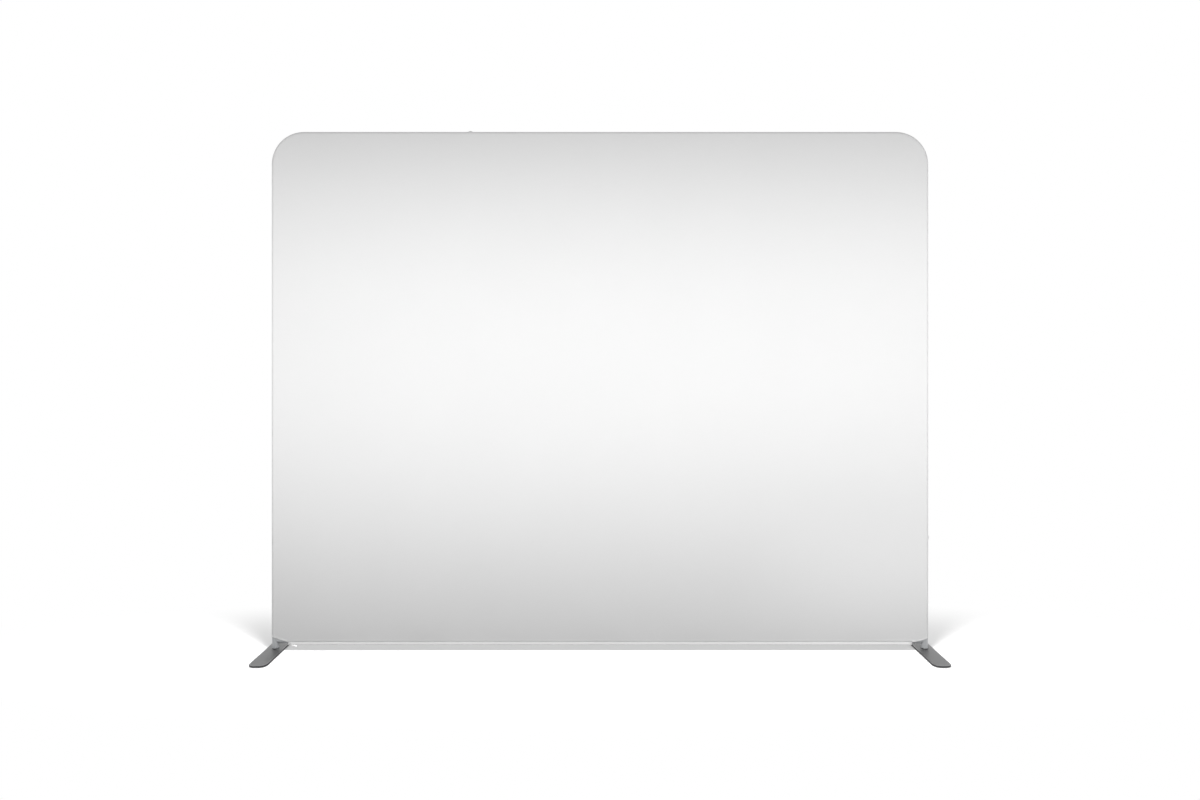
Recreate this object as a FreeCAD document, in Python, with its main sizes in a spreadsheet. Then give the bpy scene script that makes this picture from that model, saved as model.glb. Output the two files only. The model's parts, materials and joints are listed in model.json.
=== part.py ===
import FreeCAD, Part
import math
import os

import Sketcher

# A free-standing fabric display wall, in millimetres. A frame of snap-together aluminium tubes stands on
# two flat feet. A stretch-fabric cover is pulled over it like a pillowcase and closed by a zipper under
# the bottom rail. The origin is on the floor under the middle of the wall, +X runs along the wall, the
# front faces -Y and +Z is up.

doc = FreeCAD.newDocument("fabric_display_wall")
sheet = doc.addObject("Spreadsheet::Sheet", "Sizes")

RIGHT, LEFT = (1, 0, 0), (-1, 0, 0)
FRONT, BACK = (0, -1, 0), (0, 1, 0)
UP, DOWN = (0, 0, 1), (0, 0, -1)


def text_of(amount):
    return amount.text if isinstance(amount, Size) else str(amount)


def number_of(amount):
    return amount.number if isinstance(amount, Size) else amount


class Size:
    """A length or angle of the sheet, or one worked out from several, kept as expression and as number."""

    def __init__(self, text, number):
        self.text = text
        self.number = number

    def __add__(self, other):
        return Size(f"({self.text} + {text_of(other)})", self.number + number_of(other))

    def __radd__(self, other):
        return self + other

    def __sub__(self, other):
        return Size(f"({self.text} - {text_of(other)})", self.number - number_of(other))

    def __rsub__(self, other):
        return -self + other

    def __mul__(self, other):
        return Size(f"({self.text} * {text_of(other)})", self.number * number_of(other))

    def __rmul__(self, other):
        return self * other

    def __truediv__(self, other):
        return Size(f"({self.text} / {text_of(other)})", self.number / number_of(other))

    def __neg__(self):
        return Size(f"(0 - {self.text})", -self.number)


def root(amount):
    return Size(f"sqrt({amount.text})", math.sqrt(amount.number))


def size(name, number):
    """Writes one driving size into the sheet and returns it."""
    size.row += 1
    sheet.set(f"A{size.row}", name)
    sheet.set(f"B{size.row}", str(number))
    sheet.setAlias(f"B{size.row}", name)
    return Size(f"Sizes.{name}", number)


size.row = 0

# The wall as a whole, measured over the cover
wall_width = size("wall_width", 3000)
wall_height = size("wall_height", 2370)
rail_height = size("rail_height", 48)
upper_joint_height = size("upper_joint_height", 1463)
lower_joint_height = size("lower_joint_height", 553)
pole_joint_height = size("pole_joint_height", 1200)
centre_tube_length = size("centre_tube_length", 1114)
cut_overrun = size("cut_overrun", 5)

# Frame tubes
tube_diameter = size("tube_diameter", 30)
tube_wall = size("tube_wall", 1.5)
corner_radius = size("corner_radius", 132)
rail_gap = size("rail_gap", 0.5)

# Sleeves that join the tubes, with their rivets
sleeve_clearance = size("sleeve_clearance", 0.2)
sleeve_wall = size("sleeve_wall", 1.8)
sleeve_length = size("sleeve_length", 160)
rivet_diameter = size("rivet_diameter", 4)
rivet_clearance = size("rivet_clearance", 0.1)
rivet_inset = size("rivet_inset", 28)
rivet_pitch = size("rivet_pitch", 30)
rivet_head_diameter = size("rivet_head_diameter", 8)
rivet_head_height = size("rivet_head_height", 1.2)
rivet_tail_diameter = size("rivet_tail_diameter", 6)
rivet_tail_height = size("rivet_tail_height", 2)

# Snap buttons and their springs
button_diameter = size("button_diameter", 7.5)
button_clearance = size("button_clearance", 0.35)
button_inset = size("button_inset", 35)
button_proud = size("button_proud", 4)
button_crown = size("button_crown", 1.5)
button_flange_diameter = size("button_flange_diameter", 11)
button_flange_thickness = size("button_flange_thickness", 0.8)
spring_clearance = size("spring_clearance", 0.1)
spring_width = size("spring_width", 6)
spring_tail = size("spring_tail", 6)
spring_thickness = size("spring_thickness", 0.6)
spring_arm = size("spring_arm", 24)

# Saddles that stand the centre pole between the rails
saddle_clearance = size("saddle_clearance", 0.2)
saddle_width = size("saddle_width", 24)
saddle_length = size("saddle_length", 36)
saddle_depth = size("saddle_depth", 24)
saddle_lip = size("saddle_lip", 1)
spigot_length = size("spigot_length", 30)
spigot_clearance = size("spigot_clearance", 0.05)

# Feet, from the floor up
pad_diameter = size("pad_diameter", 22)
pad_thickness = size("pad_thickness", 3.5)
pad_end_inset = size("pad_end_inset", 24)
pad_side_inset = size("pad_side_inset", 22)
foot_length = size("foot_length", 400)
foot_width = size("foot_width", 82)
foot_thickness = size("foot_thickness", 6)
foot_corner_radius = size("foot_corner_radius", 32)
foot_chamfer = size("foot_chamfer", 1.2)
foot_clearance = size("foot_clearance", 0.1)
washer_diameter = size("washer_diameter", 28)
washer_thickness = size("washer_thickness", 1)
plug_flange_thickness = size("plug_flange_thickness", 2)
plug_length = size("plug_length", 30)
bolt_diameter = size("bolt_diameter", 8)
bolt_clearance = size("bolt_clearance", 0.3)
bolt_head_diameter = size("bolt_head_diameter", 16)
bolt_head_recess = size("bolt_head_recess", 0.5)
bolt_length = size("bolt_length", 30)
bolt_socket_width = size("bolt_socket_width", 5)
bolt_socket_depth = size("bolt_socket_depth", 3)

# Fabric cover
fabric_thickness = size("fabric_thickness", 0.7)
fabric_clearance = size("fabric_clearance", 0.3)
hem_height = size("hem_height", 43)
corner_rise = size("corner_rise", 22)
corner_run = size("corner_run", 80)
binding_width = size("binding_width", 5)
binding_thickness = size("binding_thickness", 0.6)
binding_clearance = size("binding_clearance", 0.05)
bump_clearance = size("bump_clearance", 0.4)
bump_depth = size("bump_depth", 8)
bump_spread = size("bump_spread", 4)

# Zipper under the bottom rail
tape_thickness = size("tape_thickness", 0.7)
tape_drop = size("tape_drop", 2.6)
tape_bend = size("tape_bend", 4)
coil_width = size("coil_width", 3.2)
coil_height = size("coil_height", 2.2)
coil_round = size("coil_round", 0.9)
stop_length = size("stop_length", 3)
stop_gap = size("stop_gap", 1)
slider_length = size("slider_length", 16)
slider_plate = size("slider_plate", 1.2)
slider_clearance = size("slider_clearance", 0.4)
slider_divider = size("slider_divider", 1.6)
slider_divider_length = size("slider_divider_length", 4)
slider_flange = size("slider_flange", 0.7)
slider_round = size("slider_round", 2)
bail_length = size("bail_length", 6)
bail_width = size("bail_width", 2.2)
bail_height = size("bail_height", 3.6)
bail_round = size("bail_round", 1.4)
pull_length = size("pull_length", 21)
pull_width = size("pull_width", 7)
pull_thickness = size("pull_thickness", 1.4)
pull_window = size("pull_window", 5.5)
pull_clearance = size("pull_clearance", 0.4)
pull_bar_diameter = size("pull_bar_diameter", 1.7)
pull_bar_clearance = size("pull_bar_clearance", 0.2)
pull_eye_diameter = size("pull_eye_diameter", 3)
pull_droop = size("pull_droop", 18)

# Places and fits that follow from the driving sizes
tube_radius = tube_diameter / 2
tube_bore = tube_diameter - 2 * tube_wall
sleeve_diameter = tube_bore - 2 * sleeve_clearance
sleeve_bore = sleeve_diameter - 2 * sleeve_wall
cover_inner = tube_radius + fabric_clearance
cover_outer = cover_inner + fabric_thickness
side_x = wall_width / 2 - cover_outer
top_z = wall_height - cover_outer
centre_end = centre_tube_length / 2
plate_bottom = pad_thickness
plate_top = plate_bottom + foot_thickness
washer_bottom = plate_top + foot_clearance
plug_bottom = washer_bottom + washer_thickness
upright_bottom = plug_bottom + plug_flange_thickness
rail_end = side_x - tube_radius - rail_gap
tape_top = rail_height - tube_radius - tape_drop
tape_bottom = tape_top - tape_thickness
tape_half = wall_width / 2 - corner_run
chain_half = tape_half - stop_length
chain_gap = slider_divider + 2 * slider_clearance
slider_half = chain_half - stop_gap - slider_length / 2
button_hole = button_diameter + 2 * button_clearance
rivet_hole = rivet_diameter + 2 * rivet_clearance
button_top = tube_radius + button_proud


def seat_in_sleeve(width):
    """How far from the axis of a sleeve a flat piece of this width meets the round wall of its bore."""
    return root(sleeve_bore * sleeve_bore - width * width) / 2


flange_top = seat_in_sleeve(button_flange_diameter) - spring_clearance
flange_bottom = flange_top - button_flange_thickness


def vector(direction):
    return FreeCAD.Vector(*direction)


def turned(x_axis, z_axis):
    """The rotation that takes X and Z to the two given directions."""
    z_vector = vector(z_axis)
    x_vector = vector(x_axis)
    return FreeCAD.Rotation(x_vector, z_vector.cross(x_vector), z_vector, "ZXY")


def moved(point, direction, distance):
    """The point that lies a distance from another, along one of the six directions."""
    shifted = []
    for place, part in zip(point, direction):
        if part == 0:
            shifted.append(place)
        else:
            shifted.append(distance * part + place)
    return tuple(shifted)


def bind(thing, name, amount):
    thing.setExpression(name, text_of(amount))


def place(thing, point, rotation=None):
    thing.Placement = FreeCAD.Placement(FreeCAD.Vector(), rotation or FreeCAD.Rotation())
    for letter, amount in zip("xyz", point):
        bind(thing, f"Placement.Base.{letter}", amount)
    return thing


def new_body(label):
    body = doc.addObject("PartDesign::Body", label)
    body.Label = label
    return body


def origin_part(body, role):
    return next(item for item in body.Origin.OriginFeatures if item.Role == role)


def new_sketch(body, role, offset=0):
    """A sketch on an origin plane of the body, or a distance along that plane's normal."""
    sketch = body.newObject("Sketcher::SketchObject", f"{body.Name}_sketch")
    sketch.AttachmentSupport = [(origin_part(body, role), "")]
    sketch.MapMode = "FlatFace"
    bind(sketch, "AttachmentOffset.Base.z", offset)
    return sketch


def hold(sketch, constraint, amount):
    number = sketch.addConstraint(constraint)
    bind(sketch, f"Constraints[{number}]", amount)


def hold_point(sketch, edge, end, point):
    """Ties one point of an edge to its two distances from the sketch's origin."""
    for name, axis, amount in (("DistanceX", -2, point[0]), ("DistanceY", -1, point[1])):
        if isinstance(amount, Size):
            hold(sketch, Sketcher.Constraint(name, -1, 1, edge, end, amount.number), amount)
        else:
            sketch.addConstraint(Sketcher.Constraint("PointOnObject", edge, end, axis))


def arc_between(start, finish, radius, turn):
    """The shorter arc from start to finish, anticlockwise where turn is 1 and clockwise where it is -1."""
    chord = finish - start
    rise = math.sqrt(max(radius ** 2 - (chord.Length / 2) ** 2, 0))
    across = FreeCAD.Vector(-chord.y, chord.x, 0).normalize()
    centre = (start + finish) / 2 + across * rise * turn
    first, last = (start, finish) if turn > 0 else (finish, start)
    angles = [math.atan2(end.y - centre.y, end.x - centre.x) for end in (first, last)]
    return Part.ArcOfCircle(Part.Circle(centre, vector(UP), radius), *angles)


def draw(sketch, corners, closed=True):
    """Draws edges through the corners of an outline.

    A corner is (x, y), or (x, y, radius, turn) where an arc leaves it for the next corner.
    """
    points = [FreeCAD.Vector(number_of(corner[0]), number_of(corner[1]), 0) for corner in corners]
    edges = []
    for index in range(len(corners) if closed else len(corners) - 1):
        start, finish = points[index], points[(index + 1) % len(points)]
        if len(corners[index]) == 2:
            edges.append((sketch.addGeometry(Part.LineSegment(start, finish)), 1, 2))
            continue
        radius, turn = corners[index][2:]
        edge = sketch.addGeometry(arc_between(start, finish, radius.number, turn))
        edges.append((edge, 1, 2) if turn > 0 else (edge, 2, 1))
        hold(sketch, Sketcher.Constraint("Radius", edge, radius.number), radius)
    for index, (edge, first, last) in enumerate(edges):
        hold_point(sketch, edge, first, corners[index])
        if closed or index + 1 < len(edges):
            following = edges[(index + 1) % len(edges)]
            joined = Sketcher.Constraint("Coincident", edge, last, following[0], following[1])
            sketch.addConstraint(joined)
    if not closed:
        hold_point(sketch, edges[-1][0], edges[-1][2], corners[-1])


def draw_circle(sketch, centre, diameter):
    middle = FreeCAD.Vector(number_of(centre[0]), number_of(centre[1]), 0)
    edge = sketch.addGeometry(Part.Circle(middle, vector(UP), diameter.number / 2))
    hold(sketch, Sketcher.Constraint("Diameter", edge, diameter.number), diameter)
    hold_point(sketch, edge, 3, centre)


def rounded(half_length, half_width, radius):
    """The corners of a rectangle about the origin, with round corners."""
    flat, side = half_length - radius, half_width - radius
    return [(-flat, -half_width), (flat, -half_width, radius, 1), (half_length, -side),
            (half_length, side, radius, 1), (flat, half_width), (-flat, half_width, radius, 1),
            (-half_length, side), (-half_length, -side, radius, 1)]


def extrude(kind, sketch, length, both_ways=False, reverse=False):
    """Pads or pockets a sketch; a pad goes along its plane's normal and a pocket goes against it."""
    body = sketch.getParentGeoFeatureGroup()
    feature = body.newObject(f"PartDesign::{kind}", f"{body.Name}_{kind.lower()}")
    feature.Profile = sketch
    feature.SideType = "Symmetric" if both_ways else "One side"
    feature.Reversed = reverse
    bind(feature, "Length", length)
    return feature


def revolve(label, corners):
    """A round piece about its own Z, from an outline in radius and height."""
    body = new_body(label)
    sketch = new_sketch(body, "XZ_Plane")
    draw(sketch, corners)
    feature = body.newObject("PartDesign::Revolution", f"{body.Name}_revolution")
    feature.Profile = sketch
    feature.ReferenceAxis = (origin_part(body, "Z_Axis"), [""])
    feature.Angle = 360
    return body


def sweep(body, profile, path):
    feature = body.newObject("PartDesign::AdditivePipe", f"{body.Name}_pipe")
    feature.Profile = profile
    feature.Spine = (path, [f"Edge{number + 1}" for number in range(path.GeometryCount)])
    return feature


def drill(body, places, diameter, outward=False):
    """Drills round holes along Z into the wall on the body's +X side, or on its -X side if outward."""
    sketch = new_sketch(body, "YZ_Plane")
    for along in places:
        draw_circle(sketch, (0, along), diameter)
    extrude("Pocket", sketch, tube_diameter, reverse=not outward)


def mirrored(label, source, normal):
    mirror = doc.addObject("Part::Mirroring", label)
    mirror.Label = label
    mirror.Source = source
    mirror.Normal = vector(normal)
    return mirror


def combined(kind, label, **parts):
    """A boolean or a group of finished pieces."""
    result = doc.addObject(f"Part::{kind}", label)
    result.Label = label
    for name, part in parts.items():
        setattr(result, name, part)
    return result


# Tubes and sleeves

def tube(label, start, along, inward, length, buttons=(), outward_buttons=(), rivets=()):
    """A straight tube from a start point, with holes at distances along it."""
    body = new_body(label)
    section = new_sketch(body, "XY_Plane")
    draw_circle(section, (0, 0), tube_diameter)
    draw_circle(section, (0, 0), tube_bore)
    extrude("Pad", section, length)
    if buttons:
        drill(body, buttons, button_hole)
    if outward_buttons:
        drill(body, outward_buttons, button_hole, outward=True)
    if rivets:
        drill(body, rivets, rivet_hole)
    return place(body, start, turned(inward, along))


def rivet_places(end, sign):
    """Distances of the two rivets of a tube from its end; sign is 1 at the start and -1 at the far end."""
    return [end + rivet_inset * sign, end + (rivet_inset + rivet_pitch) * sign]


def corner_tube(label, inward, button_up):
    """A bent tube from the upper side joint, round the top corner, to the joint in the top edge."""
    body = new_body(label)
    leg = top_z - corner_radius - upper_joint_height
    reach = side_x - centre_end
    axis = leg + corner_radius
    section = new_sketch(body, "XY_Plane")
    draw_circle(section, (0, 0), tube_diameter)
    draw_circle(section, (0, 0), tube_bore)
    path = new_sketch(body, "XZ_Plane")
    draw(path, [(0, 0), (0, leg, corner_radius, -1), (corner_radius, axis), (reach, axis)], closed=False)
    sweep(body, section, path)
    drill(body, rivet_places(0, 1), rivet_hole)
    hole = new_sketch(body, "XY_Plane", axis)
    draw_circle(hole, (reach - button_inset, 0), button_hole)
    extrude("Pocket", hole, tube_diameter, reverse=button_up)
    place(body, moved((0, 0, upper_joint_height), inward, -side_x), turned(inward, UP))


def lower_upright(label, inward, button_outward):
    """The lowest tube of one side, with the welded stub that carries the bottom rail."""
    body = new_body(label)
    length = lower_joint_height - upright_bottom
    axis = rail_height - upright_bottom
    stub_tip = tube_radius + rail_gap + sleeve_length / 2
    outside = new_sketch(body, "XY_Plane")
    draw_circle(outside, (0, 0), tube_diameter)
    extrude("Pad", outside, length)
    stub = new_sketch(body, "YZ_Plane")
    draw_circle(stub, (0, axis), sleeve_diameter)
    draw_circle(stub, (0, axis), sleeve_bore)
    extrude("Pad", stub, stub_tip)
    bore = new_sketch(body, "XY_Plane")
    draw_circle(bore, (0, 0), tube_bore)
    extrude("Pocket", bore, length, reverse=True)
    drill(body, [length - button_inset], button_hole, outward=button_outward)
    hole = new_sketch(body, "XY_Plane", axis)
    draw_circle(hole, (tube_radius + rail_gap + button_inset, 0), button_hole)
    extrude("Pocket", hole, tube_diameter, reverse=True)
    place(body, moved((0, 0, upright_bottom), inward, -side_x), turned(inward, UP))


def sleeve(name, joint, free, button, inward):
    """A sleeve riveted in one tube, whose free half carries the button that holds the next tube."""
    body = new_body(f"{name}_sleeve")
    section = new_sketch(body, "XY_Plane")
    draw_circle(section, (0, 0), sleeve_diameter)
    draw_circle(section, (0, 0), sleeve_bore)
    extrude("Pad", section, sleeve_length, both_ways=True)
    drill(body, [button_inset], button_hole)
    drill(body, rivet_places(0, -1), rivet_hole, outward=button != inward)
    place(body, joint, turned(button, free))


def rivet(name, joint, free, inward, inset):
    """A blind rivet, whose head lies on the tube and whose tail is set inside the sleeve."""
    shank, bulb, cap = rivet_diameter / 2, rivet_tail_diameter / 2, rivet_head_diameter / 2
    head, tail = tube_radius + rivet_head_height, seat_in_sleeve(rivet_tail_diameter) - rivet_clearance
    tail_end = tail - rivet_tail_height
    body = revolve(name, [(0, tail_end), (bulb, tail_end), (bulb, tail), (shank, tail),
                          (shank, tube_radius), (cap, tube_radius), (shank, head), (0, head)])
    return place(body, moved(joint, free, -inset), turned(free, inward))


def button(name, hole, free, direction):
    """A snap button with a round crown, whose base flange stops it inside the sleeve."""
    stem, flange = button_diameter / 2, button_flange_diameter / 2
    body = revolve(f"{name}_button", [
        (0, flange_bottom), (flange, flange_bottom), (flange, flange_top), (stem, flange_top),
        (stem, button_top - button_crown, button_crown, 1), (stem - button_crown, button_top),
        (0, button_top)])
    return place(body, hole, turned(free, direction))


def spring(name, hole, free, direction):
    """A bent leaf spring that pushes the button out from the far wall of its sleeve."""
    body = new_body(name)
    high, low = flange_bottom - spring_clearance, spring_clearance - seat_in_sleeve(spring_width)
    outer, inner = (high - low) / 2, (high - low) / 2 - spring_thickness
    middle, tip = (high + low) / 2, -spring_tail
    side = new_sketch(body, "XZ_Plane")
    draw(side, [(low, tip), (low + spring_thickness, tip), (low + spring_thickness, spring_arm, inner, -1),
                (middle, spring_arm + inner, inner, -1), (high - spring_thickness, spring_arm),
                (high - spring_thickness, tip), (high, tip), (high, spring_arm, outer, 1),
                (middle, spring_arm + outer, outer, 1), (low, spring_arm)])
    extrude("Pad", side, spring_width, both_ways=True)
    return place(body, hole, turned(direction, free))


# Centre pole

def saddle(label, rail, toward_pole):
    """A cup that seats on a rail, with a spigot that fills the end of the centre pole."""
    body = new_body(label)
    seat, half = tube_radius + saddle_clearance, saddle_width / 2
    edge = root(seat * seat - half * half) + saddle_lip
    reach = root(seat * seat - edge * edge)
    cup = new_sketch(body, "YZ_Plane")
    draw(cup, [(-half, saddle_depth), (-half, edge), (-reach, edge, seat, -1), (reach, edge), (half, edge),
               (half, saddle_depth)])
    extrude("Pad", cup, saddle_length, both_ways=True)
    spigot = new_sketch(body, "XY_Plane", saddle_depth)
    draw_circle(spigot, (0, 0), tube_bore - 2 * spigot_clearance)
    extrude("Pad", spigot, spigot_length)
    place(body, rail, turned(RIGHT, toward_pole))


# Feet

def foot_plate(label, centre):
    """A flat plate with round corners, a bevelled top edge and a countersunk hole in the middle."""
    body = new_body(label)
    outline = new_sketch(body, "XY_Plane")
    draw(outline, rounded(foot_width / 2, foot_length / 2, foot_corner_radius))
    plate = extrude("Pad", outline, foot_thickness)
    doc.recompute()
    top_edges = [f"Edge{number + 1}" for number, edge in enumerate(plate.Shape.Edges)
                 if min(vertex.Z for vertex in edge.Vertexes) > foot_thickness.number / 2]
    bevel = body.newObject("PartDesign::Chamfer", f"{label}_bevel")
    bevel.Base = (plate, top_edges)
    bind(bevel, "Size", foot_chamfer)
    sink = new_sketch(body, "XZ_Plane")
    mouth = bolt_head_diameter / 2 + bolt_clearance + bolt_head_recess
    hole = bolt_diameter / 2 + bolt_clearance
    draw(sink, [(0, 0), (mouth, 0), (hole, mouth - hole), (hole, foot_thickness), (0, foot_thickness)])
    groove = body.newObject("PartDesign::Groove", f"{label}_countersink")
    groove.Profile = sink
    groove.ReferenceAxis = (origin_part(body, "Z_Axis"), [""])
    groove.Angle = 360
    place(body, moved(centre, UP, plate_bottom))


def foot_pads(label, centre):
    """Four round rubber pads under the corners of one foot."""
    pads = []
    across, along = foot_width / 2 - pad_side_inset, foot_length / 2 - pad_end_inset
    for x_sign in (-1, 1):
        for y_sign in (-1, 1):
            pad = doc.addObject("Part::Cylinder", f"{label}_pad")
            bind(pad, "Radius", pad_diameter / 2)
            bind(pad, "Height", pad_thickness)
            pads.append(place(pad, (centre[0] + across * x_sign, along * y_sign, 0)))
    combined("Compound", label, Links=pads)


def end_plug(label, centre):
    """The plug pressed into the foot of an upright, threaded for the foot's bolt."""
    flange, stem, bore = tube_radius, tube_bore / 2 - spigot_clearance, bolt_diameter / 2
    top = plug_flange_thickness + plug_length
    body = revolve(label, [(bore, 0), (flange, 0), (flange, plug_flange_thickness),
                           (stem, plug_flange_thickness), (stem, top), (bore, top)])
    place(body, moved(centre, UP, plug_bottom))


def foot_bolt(label, centre):
    """A countersunk bolt with a hexagon socket, put in from below."""
    cap, shank = bolt_head_diameter / 2, bolt_diameter / 2
    body = revolve(label, [(0, 0), (cap, 0), (shank, cap - shank), (shank, bolt_length), (0, bolt_length)])
    socket = new_sketch(body, "XY_Plane")
    flat, point = bolt_socket_width / 2, bolt_socket_width / math.sqrt(3)
    draw(socket, [(point, 0), (point / 2, flat), (-point / 2, flat), (-point, 0), (-point / 2, -flat),
                  (point / 2, -flat)])
    extrude("Pocket", socket, bolt_socket_depth, reverse=True)
    return place(body, moved(centre, UP, plate_bottom + bolt_head_recess))


def foot_washer(label, centre):
    """A slip washer between the foot and the plug that turns on it."""
    inside, outside = bolt_diameter / 2 + bolt_clearance, washer_diameter / 2
    body = revolve(label, [(inside, 0), (outside, 0), (outside, washer_thickness),
                           (inside, washer_thickness)])
    return place(body, moved(centre, UP, washer_bottom))


# Cover

def half_cone(label, centre, direction, thickness):
    """The front half of a cone over a button, as wide as the button with some room and a thickness."""
    top = button_diameter / 2 + bump_clearance + thickness
    cone = doc.addObject("Part::Cone", label)
    bind(cone, "Radius1", top + bump_spread)
    bind(cone, "Radius2", top)
    bind(cone, "Height", button_top + bump_clearance + thickness - bump_depth)
    cone.Angle = 180
    return place(cone, moved(centre, direction, bump_depth), turned(along_tube(direction), direction))


def along_tube(direction):
    return tuple(vector(FRONT).cross(vector(direction)))


def bump(label, centre, direction):
    """The front half of the cloth that a button pushes up, down to the tube that the cloth lies on."""
    cone = half_cone(f"{label}_cone", centre, direction, fabric_thickness)
    reach = button_diameter + bump_spread + cut_overrun
    core = doc.addObject("Part::Cylinder", f"{label}_core")
    bind(core, "Radius", cover_inner)
    bind(core, "Height", 2 * reach)
    along = along_tube(direction)
    place(core, moved(centre, along, -reach), turned(direction, along))
    return combined("Cut", label, Base=cone, Tool=core)


def front_panel(label, bumps):
    """The front sheet with a round rim that wraps half of the tubes along its top and sides."""
    body = new_body(f"{label}_sheet")
    flat_half, shoulder = side_x - corner_radius, top_z - corner_radius
    path_corners = [(-side_x, hem_height), (-side_x, shoulder, corner_radius, -1), (-flat_half, top_z),
                    (flat_half, top_z, corner_radius, -1), (side_x, shoulder), (side_x, hem_height)]
    rim = new_sketch(body, "XY_Plane", hem_height)
    draw(rim, [(-side_x - cover_outer, 0, cover_outer, 1), (-side_x, -cover_outer), (-side_x, -cover_inner,
               cover_inner, -1), (-side_x - cover_inner, 0)])
    path = new_sketch(body, "XZ_Plane")
    draw(path, path_corners, closed=False)
    sweep(body, rim, path)
    face = new_sketch(body, "XZ_Plane", cover_inner)
    draw(face, path_corners)
    extrude("Pad", face, fabric_thickness)
    half, low = wall_width / 2, hem_height - cut_overrun
    for sign in (-1, 1):
        notch = new_sketch(body, "XZ_Plane")
        draw(notch, [((half + cut_overrun) * sign, low), ((half - corner_run) * sign, low),
                     ((half - corner_run) * sign, hem_height), (half * sign, hem_height + corner_rise),
                     ((half + cut_overrun) * sign, hem_height + corner_rise)])
        extrude("Pocket", notch, 2 * (cover_outer + cut_overrun), both_ways=True)
    cloth = body
    for centre, direction in bumps:
        raised = bump(f"{label}_bump", centre, direction)
        room = half_cone(f"{label}_room", centre, direction, 0)
        cloth = combined("Fuse", f"{label}_raised", Base=cloth, Tool=raised)
        cloth = combined("Cut", f"{label}_hollow", Base=cloth, Tool=room)
    cloth.Label = label
    return cloth


def corner_hem(label):
    """The binding round the sloped opening at the left bottom corner, where the upright comes out."""
    body = new_body(f"{label}_front")
    half, inner_x = wall_width / 2, corner_run - wall_width / 2
    inner = cover_outer + binding_clearance
    outer = inner + binding_thickness
    strip = new_sketch(body, "XY_Plane", hem_height)
    draw(strip, [(-side_x - outer, 0, outer, 1), (-side_x, -outer), (inner_x, -outer), (inner_x, -inner),
                 (-side_x, -inner, inner, -1), (-side_x - inner, 0)])
    extrude("Pad", strip, corner_rise + 2 * binding_width)
    slope = corner_rise / corner_run
    edge_x = half + cut_overrun
    edge_z = hem_height + slope * (corner_run + cut_overrun)
    low, high = hem_height - cut_overrun, edge_z + binding_width + cut_overrun
    below = new_sketch(body, "XZ_Plane")
    draw(below, [(-edge_x, low), (inner_x, low), (inner_x, hem_height), (-edge_x, edge_z)])
    extrude("Pocket", below, 2 * (outer + cut_overrun), both_ways=True)
    above = new_sketch(body, "XZ_Plane")
    draw(above, [(-edge_x, high), (-edge_x, edge_z + binding_width), (inner_x, hem_height + binding_width),
                 (inner_x + cut_overrun, hem_height + binding_width), (inner_x + cut_overrun, high)])
    extrude("Pocket", above, 2 * (outer + cut_overrun), both_ways=True)
    return combined("Fuse", label, Base=body, Tool=mirrored(f"{label}_rear", body, BACK))


# Zipper

def zipper_tape(label):
    """The front half of the tape, which turns under the bottom rail."""
    body = new_body(label)
    bend_y, bend_z, bend = cover_inner - tape_bend, tape_top + tape_bend, tape_bend + tape_thickness
    outside = cover_inner + tape_thickness
    section = new_sketch(body, "YZ_Plane")
    draw(section, [(-outside, hem_height), (-outside, bend_z, bend, 1), (-bend_y, tape_bottom),
                   (-chain_gap / 2, tape_bottom), (-chain_gap / 2, tape_top),
                   (-bend_y, tape_top, tape_bend, -1), (-cover_inner, bend_z), (-cover_inner, hem_height)])
    extrude("Pad", section, 2 * tape_half, both_ways=True)
    return body


def zipper_coil(label):
    """The front half of the chain, under the edge of its tape."""
    body = new_body(label)
    near, far, low = -chain_gap / 2, -chain_gap / 2 - coil_width, tape_bottom - coil_height
    section = new_sketch(body, "YZ_Plane")
    draw(section, [(far, tape_bottom), (far, low + coil_round, coil_round, 1), (far + coil_round, low),
                   (near - coil_round, low, coil_round, 1), (near, low + coil_round), (near, tape_bottom)])
    extrude("Pad", section, 2 * chain_half, both_ways=True)
    return body


def zipper_stops(label):
    """A block at each end of the chain."""
    stops = []
    width = chain_gap + 2 * coil_width
    for start in (-tape_half, chain_half):
        block = doc.addObject("Part::Box", f"{label}_block")
        bind(block, "Length", stop_length)
        bind(block, "Width", width)
        bind(block, "Height", coil_height)
        stops.append(place(block, (start, -width / 2, tape_bottom - coil_height)))
    combined("Compound", label, Links=stops)


def zipper_slider(label, centre):
    """Two plates that grip the chain, joined by a divider, with a bail under them for the pull."""
    body = new_body(label)
    half, nose = slider_length / 2, slider_round - slider_length / 2
    side = chain_gap / 2 + coil_width + slider_clearance
    half_width = side + slider_flange
    upper, lower = tape_thickness + slider_clearance, -coil_height - slider_clearance - slider_plate

    def plate(height):
        outline = new_sketch(body, "XY_Plane", height)
        draw(outline, rounded(half, half_width, slider_round))
        extrude("Pad", outline, slider_plate)

    plate(lower)
    divider = new_sketch(body, "XY_Plane", lower)
    draw(divider, [(-half, 0), (nose, -slider_divider / 2), (nose + slider_divider_length, 0),
                   (nose, slider_divider / 2)])
    extrude("Pad", divider, upper - lower + slider_plate)
    plate(upper)
    ends = half - slider_round
    for sign in (-1, 1):
        flange = new_sketch(body, "XY_Plane", lower)
        draw(flange, [(-ends, side * sign), (ends, side * sign), (ends, half_width * sign),
                      (-ends, half_width * sign)])
        extrude("Pad", flange, coil_height + slider_plate)
    bail = new_sketch(body, "XZ_Plane")
    end, drop = bail_length / 2, lower - bail_height
    draw(bail, [(-end, lower), (-end, drop + bail_round, bail_round, 1), (-end + bail_round, drop),
                (end - bail_round, drop, bail_round, 1), (end, drop + bail_round), (end, lower)])
    draw_circle(bail, (0, lower - bail_height / 2), pull_bar_diameter + 2 * pull_bar_clearance)
    extrude("Pad", bail, bail_width, both_ways=True)
    place(body, centre)
    return moved(centre, UP, lower - bail_height / 2)


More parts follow.
